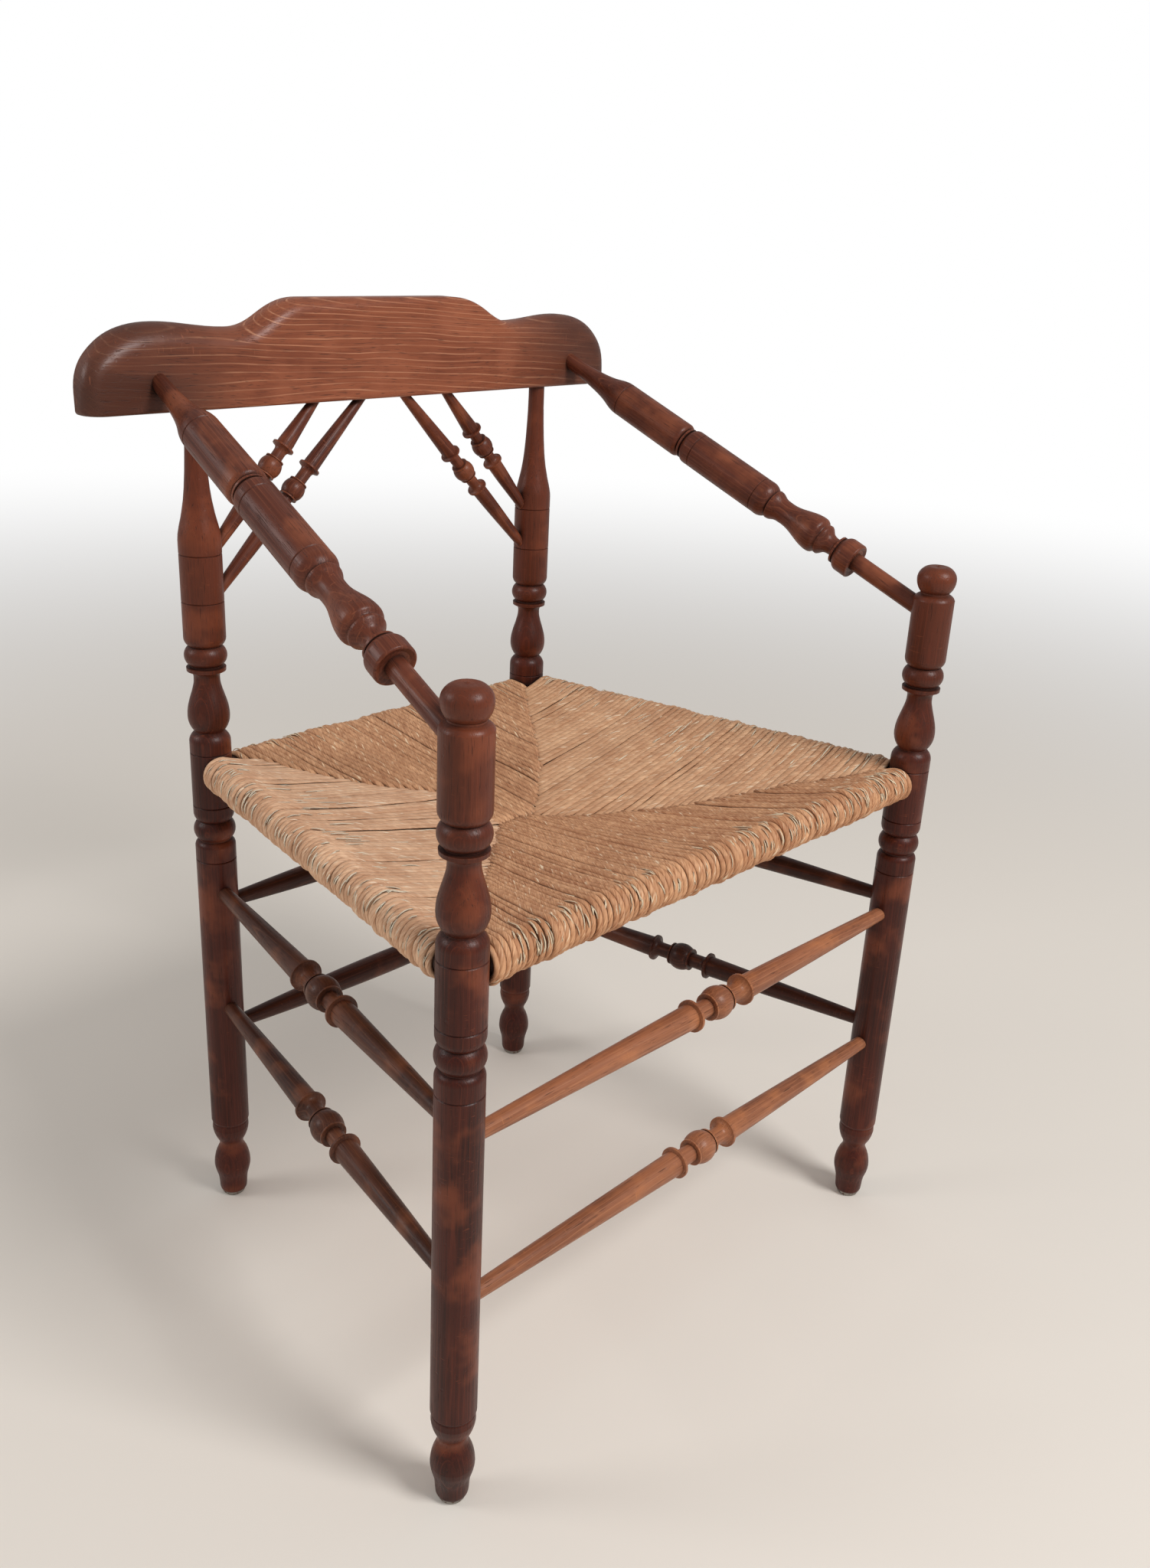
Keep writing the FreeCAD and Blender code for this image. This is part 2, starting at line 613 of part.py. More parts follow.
# The rails' tenons meet at nearly one height, so each stops short of the other
RAIL_TENON_DEPTH = POST_R - RAIL_TENON_R - 2.5
SIDE_RAIL_FRONT_Z = SEAT_Z - SIDE_RAIL_DROP
SIDE_RAIL_BACK_Z = SIDE_RAIL_FRONT_Z - SIDE_RAIL_FALL
RAILS = {
    "front": ("front_left", SEAT_Z, "front_right", SEAT_Z),
    "back": ("back_right", SEAT_Z - BACK_RAIL_DROP, "back_left", SEAT_Z - BACK_RAIL_DROP),
    "left": ("back_left", SIDE_RAIL_BACK_Z, "front_left", SIDE_RAIL_FRONT_Z),
    "right": ("front_right", SIDE_RAIL_FRONT_Z, "back_right", SIDE_RAIL_BACK_Z),
}


def rail_ends(side):
    first, first_z, second, second_z = RAILS[side]
    return post_axis_point(first, first_z), post_axis_point(second, second_z)


def seat_rail(side):
    """Plain round rail between two posts, wrapped by the rush."""
    first, _, second, _ = RAILS[side]
    start, end = rail_ends(side)
    length = (end - start).Length
    line = Turning(RAIL_TENON_R, 0).line(RAIL_TENON_R, POST_R - 2)
    line.flow((RAIL_R, POST_R + 22)).line(RAIL_R, length - POST_R - 22)
    line.flow((RAIL_TENON_R, length - POST_R + 2)).line(RAIL_TENON_R, length)
    joints = [post_joint(first, start, end, RAIL_TENON_R, RAIL_TENON_DEPTH),
              post_joint(second, end, start, RAIL_TENON_R, RAIL_TENON_DEPTH)]
    return member_between(start, end, line, joints)


def seat_middle():
    """Ends of the short seam in the middle of the seat, left and right, on its upper face."""
    height = SEAT_Z + ROLL_R - SEAT_SAG
    return V(RIDGE_X - RIDGE_HALF, RIDGE_Y, height), V(RIDGE_X + RIDGE_HALF, RIDGE_Y, height)


def rush_panel(side):
    """One of the four panels of the rush seat: a roll round the rail, and the slope to the middle.
    Its section is drawn square to the rail and run along it, then the seams trim it."""
    start, end = rail_ends(side)
    along = (end - start).normalize()
    inward = UP.cross(along).normalize()
    rise = along.cross(inward)
    left, right = seat_middle()
    near, far = {"front": (left, right), "back": (right, left),
                 "left": (left, left), "right": (right, right)}[side]
    reach = (near - start).dot(inward)
    foot = start + along * (near - start).dot(along)
    drop = (near - foot).dot(rise)

    def at(across, up):
        return start + inward * across + rise * up
    run = [(0, ROLL_R), (reach, drop), (reach + 40, drop),
           (reach + 40, drop - SEAT_MIDDLE_THICK), (reach, drop - SEAT_MIDDLE_THICK), (0, -ROLL_R)]
    corners = [at(*pair) for pair in run]
    edges = [Part.LineSegment(a, b).toShape() for a, b in zip(corners, corners[1:])]
    edges.append(Part.Arc(corners[-1], at(-ROLL_R, 0), corners[0]).toShape())
    body = Part.Face(Part.Wire(edges)).extrude(end - start)
    bore = rod(start - along, end + along, RAIL_R + SOFT_CLEAR)
    body = body.cut(bore).common(panel_plan(start, end, near, far, inward))
    first, _, second, _ = RAILS[side]
    for name in (first, second):
        body = body.cut(post_envelope(name, SOFT_CLEAR))
    return body


def panel_plan(start, end, near, far, inward):
    """Upright prism over one panel's plan, a little inside its seams."""
    half_gap = SOFT_CLEAR / 2
    flat = [V(point.x, point.y, 0) for point in (start, end, far, near)]
    if near == far:
        flat.pop()
    outside = 3 * ROLL_R
    toward_start = (flat[0] - flat[-1]).normalize()
    toward_end = (flat[1] - flat[2]).normalize()
    plan = [flat[0] + toward_start * outside, flat[1] + toward_end * outside] + flat[2:]
    wire = Part.makePolygon(plan + plan[:1])
    prism = Part.Face(wire).extrude(V(0, 0, CREST_TOP))
    return prism.makeOffsetShape(-half_gap, 0.01, join=2)


def save(name, shape):
    solids = shape.Solids
    if len(solids) != 1 or not shape.isValid():
        print(name, "has", len(solids), "solids, valid:", shape.isValid())
    whole = solids[0] if len(solids) == 1 else shape
    whole.exportStep(os.path.join("parts", name + ".step"))
    print(name, round(whole.Volume), "mm3")


def main():
    os.makedirs("parts", exist_ok=True)
    members = {"arm_left": arm(-1), "arm_right": arm(1)}
    for side, way in (("left", -1), ("right", 1)):
        for place in ("outer", "inner"):
            members["spindle_%s_%s" % (side, place)] = spindle(way, place)
    for name in STRETCHERS:
        members[name] = stretcher(name)
    for side in RAILS:
        members["seat_rail_" + side] = seat_rail(side)
    sockets = {}
    for name, (shape, joints) in members.items():
        save(name, shape)
        for joint in joints:
            sockets.setdefault(joint.host, []).append(joint.socket)
    for name, (x, y) in POST_XY.items():
        save("post_" + name, post(name, sockets["post_" + name]))
        save("glide_" + name, glide(name))
    for name in ("back_left", "back_right"):
        foot = post_axis_point(name, crest_underside(POST_XY[name][0]) - 1)
        sockets["crest_rail"].append(Part.makeCylinder(POST_TENON_R + TENON_CLEAR,
                                                       POST_TENON_LENGTH + 1 + TENON_END_CLEAR, foot))
    save("crest_rail", crest_rail(sockets["crest_rail"]))
    for side in RAILS:
        save("rush_" + side, rush_panel(side))


main()
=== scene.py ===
"""Corner chair, dressed: stained and handled wood on the turned frame, a hand-wound rush seat,
pressed steel glides, a pale floor and soft light. Metres, +Z up, the front faces -Y."""
import math
import random

import bpy
import numpy as np
from mathutils import Matrix, Vector, noise


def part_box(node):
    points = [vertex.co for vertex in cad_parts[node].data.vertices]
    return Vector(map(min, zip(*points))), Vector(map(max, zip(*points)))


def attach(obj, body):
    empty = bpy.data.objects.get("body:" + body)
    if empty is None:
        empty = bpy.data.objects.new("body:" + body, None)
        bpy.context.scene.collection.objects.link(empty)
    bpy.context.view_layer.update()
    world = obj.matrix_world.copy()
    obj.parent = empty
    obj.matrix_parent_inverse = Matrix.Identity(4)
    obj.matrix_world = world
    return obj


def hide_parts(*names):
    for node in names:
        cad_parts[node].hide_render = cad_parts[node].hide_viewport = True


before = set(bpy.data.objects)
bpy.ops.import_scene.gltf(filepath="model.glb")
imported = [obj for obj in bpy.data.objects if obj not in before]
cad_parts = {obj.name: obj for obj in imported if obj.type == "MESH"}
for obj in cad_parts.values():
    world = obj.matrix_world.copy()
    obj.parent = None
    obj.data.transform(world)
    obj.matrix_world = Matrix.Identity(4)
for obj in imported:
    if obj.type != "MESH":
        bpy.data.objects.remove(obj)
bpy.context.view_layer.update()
MM = 0.001


def paint(red, green, blue, alpha=1.0):
    """A screen colour, 0 to 255, as the linear colour that a shader takes."""
    def linear(value):
        value /= 255
        return value / 12.92 if value <= 0.04045 else ((value + 0.055) / 1.055) ** 2.4
    return (linear(red), linear(green), linear(blue), alpha)


# Camera

EYE = Vector((-0.78051, -0.78105, 0.88873))
YAW, PITCH, ROLL = (math.radians(angle) for angle in (43.2085, 21.7621, 2.9373))
FOCAL = 1805.07
FRAME_HEIGHT = 2048
SENSOR = 36.0


def place_camera():
    right = Vector((math.sin(YAW), -math.cos(YAW), 0))
    ahead = Vector((math.cos(PITCH) * math.cos(YAW), math.cos(PITCH) * math.sin(YAW), -math.sin(PITCH)))
    above = right.cross(ahead)
    level_right = math.cos(ROLL) * right + math.sin(ROLL) * above
    level_up = -math.sin(ROLL) * right + math.cos(ROLL) * above
    data = bpy.data.cameras.new("camera")
    data.sensor_width = SENSOR
    data.lens = SENSOR * FOCAL / FRAME_HEIGHT
    camera = bpy.data.objects.new("camera", data)
    turn = Matrix((level_right, level_up, -ahead)).transposed()
    camera.matrix_world = Matrix.Translation(EYE) @ turn.to_4x4()
    bpy.context.scene.collection.objects.link(camera)
    bpy.context.scene.camera = camera


# Laying and joining shader nodes

class Bench:
    """Lays and joins the nodes of one material or one group."""

    def __init__(self, tree):
        self.tree = tree

    def feed(self, socket, value):
        if isinstance(value, bpy.types.NodeSocket):
            self.tree.links.new(value, socket)
        elif value is not None:
            socket.default_value = value

    def lay(self, kind, feeds=(), out=0, **settings):
        """A node with its settings and inputs; gives back one of its outputs."""
        node = self.tree.nodes.new("ShaderNode" + kind)
        for setting, value in settings.items():
            setattr(node, setting, value)
        pairs = feeds.items() if isinstance(feeds, dict) else enumerate(feeds)
        for socket, value in pairs:
            self.feed(node.inputs[socket], value)
        return node.outputs[out]

    def math(self, operation, *values, clamp=False):
        return self.lay("Math", values, operation=operation, use_clamp=clamp)

    def vector(self, operation, *values, out=0):
        return self.lay("VectorMath", values, operation=operation, out=out)

    def mix(self, amount, first, second, blend="MIX"):
        return self.lay("Mix", {0: amount, 6: first, 7: second}, out=2, data_type="RGBA", blend_type=blend)

    def span(self, value, low, high, to_low=0.0, to_high=1.0):
        """The value's stretch from low to high, spread over another and held at its ends."""
        return self.lay("MapRange", (value, low, high, to_low, to_high), interpolation_type="SMOOTHSTEP")

    def noise(self, place, scale, detail=2.0, seed=0.0, out=0):
        feeds = {"Vector": place, "Scale": scale, "Detail": detail, "W": seed}
        return self.lay("TexNoise", feeds, out=out, noise_dimensions="4D")

    def stretched(self, place, along_x, along_y, along_z):
        return self.vector("MULTIPLY", place, (along_x, along_y, along_z))

    def group(self, tree, feeds):
        """A group placed with its own values; gives back its outputs by name."""
        node = self.tree.nodes.new("ShaderNodeGroup")
        node.node_tree = tree
        for socket, value in feeds.items():
            self.feed(node.inputs[socket], value)
        return node.outputs


def begin_group(name, inputs, outputs):
    """A new node group, its bench, what it is given, and a way to put values out."""
    tree = bpy.data.node_groups.new(name, "ShaderNodeTree")
    for socket, kind in inputs:
        tree.interface.new_socket(name=socket, in_out="INPUT", socket_type="NodeSocket" + kind)
    for socket in outputs:
        tree.interface.new_socket(name=socket, in_out="OUTPUT", socket_type="NodeSocketFloat")
    bench = Bench(tree)
    given = tree.nodes.new("NodeGroupInput").outputs
    end = tree.nodes.new("NodeGroupOutput").inputs
    return tree, bench, given, lambda socket, value: tree.links.new(value, end[socket])


def begin_material(name):
    """A new material, its bench and the shader that its finish goes to."""
    material = bpy.data.materials.new(name)
    material.use_nodes = True
    bench = Bench(material.node_tree)
    return material, bench, material.node_tree.nodes["Principled BSDF"]


def timber_grain():
    """Growth rings, fibres, pores and slow change of tone, with the grain along the place's Z."""
    tree, bench, given, give = begin_group(
        "timber_grain",
        (("Place", "Vector"), ("Ring width", "Float"), ("Pith", "Vector"), ("Wave", "Float"),
         ("Seed", "Float")),
        ("Rings", "Fibre", "Pores", "Mottle"))
    place, seed = given["Place"], given["Seed"]
    slow = bench.noise(bench.stretched(place, 14, 14, 3.6), 1.0, 1.5, seed, out=1)
    bend = bench.vector("SCALE", bench.vector("SUBTRACT", slow, (0.5, 0.5, 0.5)), None, None, given["Wave"])
    bent = bench.vector("ADD", place, bend)
    across = bench.vector("MULTIPLY", bench.vector("SUBTRACT", bent, given["Pith"]), (1, 1, 0))
    rings = bench.math("DIVIDE", bench.vector("LENGTH", across, out=1), given["Ring width"])
    wander = bench.noise(bench.stretched(place, 60, 60, 12), 1.0, 1.0, seed)
    rings = bench.math("ADD", rings, bench.math("MULTIPLY", wander, 1.1))
    peak = bench.math("MULTIPLY", bench.math("PINGPONG", rings, 0.5), 2)
    broken = bench.span(bench.noise(bench.stretched(place, 160, 160, 22), 1.0, 2.0, seed), 0.36, 0.62, 0.25)
    give("Rings", bench.math("MULTIPLY", bench.span(peak, 0.74, 1.0), broken))
    fibre = bench.noise(bench.stretched(bent, 620, 620, 13), 1.0, 4.0, seed)
    give("Fibre", bench.span(fibre, 0.3, 0.7))
    pores = bench.noise(bench.stretched(bent, 1500, 1500, 70), 1.0, 1.0, seed)
    give("Pores", bench.span(pores, 0.6, 0.72))
    give("Mottle", bench.span(bench.noise(bench.stretched(place, 34, 34, 9), 1.0, 3.0, seed), 0.32, 0.68))
    return tree


def handling_marks():
    """Small knocks and rubbed places, left by hands, shoes and years."""
    tree, bench, given, give = begin_group(
        "handling_marks", (("Place", "Vector"), ("Seed", "Float")), ("Rubbed", "Knocks", "Scratches"))
    place, seed = given["Place"], given["Seed"]
    give("Rubbed", bench.span(bench.noise(place, 26, 3.0, seed), 0.5, 0.68))
    give("Knocks", bench.span(bench.noise(place, 210, 1.0, seed), 0.66, 0.74))
    thin = bench.noise(bench.stretched(place, 260, 90, 1100), 1.0, 0.5, seed)
    some = bench.span(bench.noise(place, 38, 0.0, seed), 0.5, 0.62)
    give("Scratches", bench.math("MULTIPLY", bench.span(thin, 0.69, 0.74), some))
    return tree


def rush_fibres():
    """Twisted leaves of one cord: streaks, pale flecks and stains, from the length along the cord
    and the way round it."""
    tree, bench, given, give = begin_group(
        "rush_fibres", (("Cord", "Vector"), ("Place", "Vector"), ("Twist", "Float")),
        ("Streaks", "Flecks", "Stains", "Nodes"))
    along, around = (bench.lay("SeparateXYZ", [given["Cord"]], out=axis) for axis in range(2))
    wound = bench.math("ADD", around, bench.math("MULTIPLY", along, given["Twist"]))
    lie = bench.lay("CombineXYZ", (along, wound, 0.0))
    streaks = bench.noise(bench.stretched(lie, 38, 1500, 0), 1.0, 3.0)
    give("Streaks", bench.span(streaks, 0.3, 0.7))
    flecks = bench.noise(bench.stretched(lie, 62, 760, 0), 1.0, 2.0, 3.7)
    give("Flecks", bench.span(flecks, 0.62, 0.72))
    give("Stains", bench.span(bench.noise(given["Place"], 34, 4.0, 1.9), 0.36, 0.68))
    give("Nodes", bench.span(bench.noise(bench.stretched(lie, 170, 130, 0), 1.0, 1.0, 8.1), 0.42, 0.66))
    return tree


GRAIN, MARKS, FIBRES = timber_grain(), handling_marks(), rush_fibres()


# Wood

def lie_of(start, end):
    """Place and turn of a piece whose grain runs from start to end."""
    return tuple(start), tuple((end - start).to_track_quat("Z", "Y").to_euler())


def axis_of(node):
    """Ends of a turned piece's axis, read from its own mesh."""
    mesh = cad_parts[node].data
    points = np.empty(len(mesh.vertices) * 3)
    mesh.vertices.foreach_get("co", points)
    points = points.reshape(-1, 3)
    low, high = points.min(0), points.max(0)
    _, ways = np.linalg.eigh(np.cov((points - points.mean(0)).T))
    way = ways[:, 2] * (1 if ways[:, 2].sum() > 0 else -1)
    reach = (points - (low + high) / 2) @ way
    middle = Vector((low + high) / 2)
    return middle + Vector(way) * reach.min(), middle + Vector(way) * reach.max()


def wood(name, lie, deep, warm, line, seed, ring=(3.2, 0.5), pith=(0.021, 0.016, 0), wave=0.006,
         rubbed=None, rub=0.5, gloss=0.42, coat=0.05, ends=None, aloft_tone_and_light=None):
    """Stained wood with its grain along the piece, grime and painted shade in its grooves, and worn
    edges. Ring is the rings' width in mm and their strength; ends is the tone towards the piece's two
    ends, and aloft the tone, partly painted light, that sets in above the seat."""
    material, bench, shader = begin_material(name)
    place = bench.lay("TexCoord", out=3)
    start, turn = lie
    local = bench.lay("Mapping", {"Vector": place, "Location": start, "Rotation": turn},
                      vector_type="TEXTURE")
    grain = bench.group(GRAIN, {"Place": local, "Ring width": ring[0] * MM, "Pith": pith, "Wave": wave,
                                "Seed": seed})
    marks = bench.group(MARKS, {"Place": local, "Seed": seed})
    fibre, pores = grain["Fibre"], grain["Pores"]
    tone = bench.math("ADD", bench.math("MULTIPLY", grain["Mottle"], 0.55),
                      bench.math("MULTIPLY", fibre, 0.45))
    colour = bench.mix(tone, deep, warm)
    colour = bench.mix(bench.math("MULTIPLY", grain["Rings"], ring[1]), colour, line)
    if rubbed:
        colour = bench.mix(bench.math("MULTIPLY", marks["Rubbed"], rub), colour, rubbed)
    # Lighter above the seat and darker below it: partly the wood's own tone, partly painted light above and
    # painted shade under the seat.
    if aloft_tone_and_light:
        high = bench.span(bench.lay("SeparateXYZ", [place], out=2), 0.42, 0.66, 0.0, 0.36)
        colour = bench.mix(high, colour, aloft_tone_and_light)
    if ends:
        sideways = bench.math("ABSOLUTE", bench.lay("SeparateXYZ", [place]))
        dark = bench.math("MULTIPLY", bench.span(sideways, 0.11, 0.23),
                          bench.span(grain["Mottle"], 0, 1, 0.6, 0.95))
        colour = bench.mix(dark, colour, ends)
    # Ambient occlusion darkens the grooves and hollows: painted shade that stands also for old grime, which
    # also makes them rougher.
    open_air = bench.lay("AmbientOcclusion", {"Distance": 0.009}, out=1, samples=6)
    dirt_and_shade = bench.span(open_air, 0.3, 0.84, 0.94, 0.0)
    edge_air = bench.lay("AmbientOcclusion", {"Distance": 0.0016}, out=1, samples=6, inside=True)
    edge = bench.span(edge_air, 0.45, 0.8, 0.55, 0.0)
    worn = bench.math("MULTIPLY", edge, bench.span(fibre, 0.2, 0.7, 0.3))
    colour = bench.mix(worn, colour, rubbed or line)
    colour = bench.mix(bench.math("MULTIPLY", pores, 0.55), colour, DARK_PORE)
    colour = bench.mix(dirt_and_shade, colour, DIRT_AND_SHADE)
    colour = bench.mix(bench.math("MULTIPLY", marks["Scratches"], 0.35), colour, rubbed or line)
    bench.feed(shader.inputs["Base Color"], colour)
    rough = bench.math("ADD", gloss, bench.math("MULTIPLY", fibre, -0.08))
    rough = bench.math("ADD", rough, bench.math("MULTIPLY", dirt_and_shade, 0.3))
    rough = bench.math("ADD", rough, bench.math("MULTIPLY", pores, 0.2), clamp=True)
    bench.feed(shader.inputs["Roughness"], rough)
    height = bench.math("ADD", bench.math("MULTIPLY", fibre, 0.35), bench.math("MULTIPLY", pores, -0.8))
    height = bench.math("ADD", height, bench.math("MULTIPLY", grain["Rings"], -0.35))
    height = bench.math("ADD", height, bench.math("MULTIPLY", marks["Knocks"], -0.9))
    bump = bench.lay("Bump", {"Strength": 0.35, "Distance": 0.0004, "Height": height})
    bench.feed(shader.inputs["Normal"], bump)
    shader.inputs["Coat Weight"].default_value = coat
    shader.inputs["Coat Roughness"].default_value = 0.24
    shader.inputs["Specular IOR Level"].default_value = 0.24
    return material


DARK_PORE = paint(38, 18, 12)
# Dark brown painted into the grooves, as shade and grime
DIRT_AND_SHADE = paint(24, 13, 10)


def dress(node, material):
    """Gives a piece of the frame its material."""
    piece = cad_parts[node]
    if not piece.material_slots:
        piece.data.materials.append(material)
    for held in piece.material_slots:
        held.material = material


# The posts' tone above the seat is partly painted light.
POST_TONES = dict(deep=paint(44, 15, 8), warm=paint(84, 32, 19), line=paint(104, 46, 28),
                  rubbed=paint(140, 72, 44), aloft_tone_and_light=paint(134, 70, 44))
ARM_TONES = dict(deep=paint(72, 33, 22), warm=paint(110, 56, 38), line=paint(140, 80, 54),
                 rubbed=paint(156, 88, 58))
CREST_TONES = dict(deep=paint(116, 60, 40), warm=paint(156, 90, 62), line=paint(202, 142, 108),
                   rubbed=paint(166, 100, 72), ends=paint(76, 44, 34))
FRONT_STRETCHER_TONES = dict(deep=paint(126, 76, 52), warm=paint(170, 110, 78), line=paint(190, 132, 96),
                             rubbed=paint(196, 126, 80))
LEFT_STRETCHER_TONES = dict(deep=paint(54, 28, 19), warm=paint(96, 56, 40), line=paint(120, 76, 54),
                            rubbed=paint(140, 84, 56))
DARK_STRETCHER_TONES = dict(deep=paint(38, 14, 8), warm=paint(76, 36, 23), line=paint(96, 52, 34),
                            rubbed=paint(120, 66, 42))
RAW_TONES = dict(deep=paint(150, 116, 80), warm=paint(186, 152, 110), line=paint(132, 96, 62))


def dress_wood():
    seed = 1.0
    for corner in ("front_left", "front_right", "back_left", "back_right"):
        low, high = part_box("post_" + corner)
        axis = Vector(((low[0] + high[0]) / 2, (low[1] + high[1]) / 2, 0))
        lie = lie_of(axis, axis + Vector((0, 0, 1)))
        dress("post_" + corner, wood("post_" + corner, lie, seed=seed, **POST_TONES))
        seed += 1.3
    crest_start = Vector((0, 0.2065, 0.79))
    crest_lie = lie_of(crest_start, crest_start + Vector((1, 0.0, -0.035)))
    dress("crest_rail", wood("crest_rail", crest_lie, seed=seed, ring=(4.2, 0.75), pith=(0.07, -0.13, 0),
                             wave=0.036, rub=0.35, **CREST_TONES))
    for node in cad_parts:
        if node.startswith(("arm_", "spindle_", "stretcher_")):
            seed += 1.3
            tones = ARM_TONES
            if node.startswith("stretcher_"):
                tones = (FRONT_STRETCHER_TONES if "front" in node
                         else LEFT_STRETCHER_TONES if "left" in node else DARK_STRETCHER_TONES)
            dress(node, wood(node, lie_of(*axis_of(node)), seed=seed, **tones))
        elif node.startswith("seat_rail_"):
            seed += 1.3
            dress(node, wood(node, lie_of(*axis_of(node)), seed=seed, gloss=0.7, coat=0.0, **RAW_TONES))


# Glides

def dress_glides():
    """Pressed steel, dull and a little rusty at the floor."""
    material, bench, shader = begin_material("glide_steel")
    place = bench.lay("TexCoord", out=3)
    rust = bench.span(bench.noise(place, 420, 3.0), 0.46, 0.66)
    bench.feed(shader.inputs["Base Color"], bench.mix(rust, paint(150, 146, 140), paint(96, 66, 48)))
    bench.feed(shader.inputs["Metallic"], bench.span(rust, 0, 1, 1.0, 0.2))
    bench.feed(shader.inputs["Roughness"], bench.span(rust, 0, 1, 0.34, 0.75))
    bump = bench.lay("Bump", {"Strength": 0.3, "Distance": 0.0002, "Height": bench.noise(place, 900, 2.0)})
    bench.feed(shader.inputs["Normal"], bump)
    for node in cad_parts:
        if node.startswith("glide_"):
            dress(node, material)


# Rush seat

ROLL_R = 12.4 * MM          # from a rail's axis to the middle of a cord wound on it
CORD_R = 2.6 * MM
CORD_DEPTH = 2.2 * MM       # from a cord's upper face on a seam down to its middle
POST_KEEP = 18.3 * MM       # nearest that a cord comes to a post's axis
SEAT_THICK = 19 * MM        # between the upper and lower cords where the slopes end, on short cords
SEAT_THIN = 13 * MM         # and the least anywhere
SLOPE_SAG = 2.0 * MM
FLATTEN_RUN = 30 * MM       # length over which a round cord flattens on the slope
CORE_SINK = 2.4 * MM        # the seat's packed inside lies this far under the cords' middles
CORE_STEPS = (10, 12, 14)   # points of its section under the seat, round the roll, on the slope
CORE_TINT, WISP_TINT = -1.0, 1.5    # tints that mark what isn't a cord; a cord's runs from 0 to 1
WISP_ROOM = 24 * MM         # between a loose leaf and the ends of a rail
WISP_RISE = 2.5 * MM
CORNERS = {
    "front_left": Vector((-0.2645, -0.2065, 0)), "front_right": Vector((0.2645, -0.2065, 0)),
    "back_right": Vector((0.188, 0.2065, 0)), "back_left": Vector((-0.188, 0.2065, 0)),
}
# Each seam from its post to the middle: plan and height of the cords' upper faces, mm
SEAMS = {
    "front_left": [(-264.5, -206.5, 463), (-210, -158, 454), (-150, -103, 441), (-92, -50, 430),
                   (-35, 2, 419)],
    "front_right": [(264.5, -206.5, 463), (215, -172, 454), (191, -150, 448), (162, -128, 442),
                    (133, -109, 436), (104, -90, 430), (78, -68, 425), (46, -42, 420.5),
                    (17, -19, 418.5), (0, 1, 419)],
    "back_right": [(188, 206.5, 457), (168, 186, 453), (130, 140, 445), (92, 90, 438), (63, 56, 432),
                   (24, 18.5, 423), (0, 1, 419)],
    "back_left": [(-188, 206.5, 457), (-170, 200, 454), (-152, 186, 451), (-137, 163, 447),
                  (-117, 135, 442), (-96, 108, 438), (-77, 88, 436), (-54, 67, 433), (-41, 40, 429),
                  (-33, 18, 423), (-35, 2, 419)],
}
# Rail of each panel, counterclockwise: first corner and axis height, second corner and height;
# the cords' way inward at both ends, degrees in plan; pitch; half height of a cord on the slope
PANELS = {
    "front": ("front_left", 449.0, "front_right", 449.0, 69, 99, 5.35, 2.1),
    "right": ("front_right", 448.5, "back_right", 444.5, 186, 181, 5.45, 1.1),
    "back": ("back_right", 440.0, "back_left", 440.0, 272, 281, 5.9, 2.5),
    "left": ("back_left", 444.5, "front_left", 448.5, 357, 354, 5.45, 1.0),
}


def seam_point(values):
    return Vector((values[0] * MM, values[1] * MM, values[2] * MM - CORD_DEPTH))


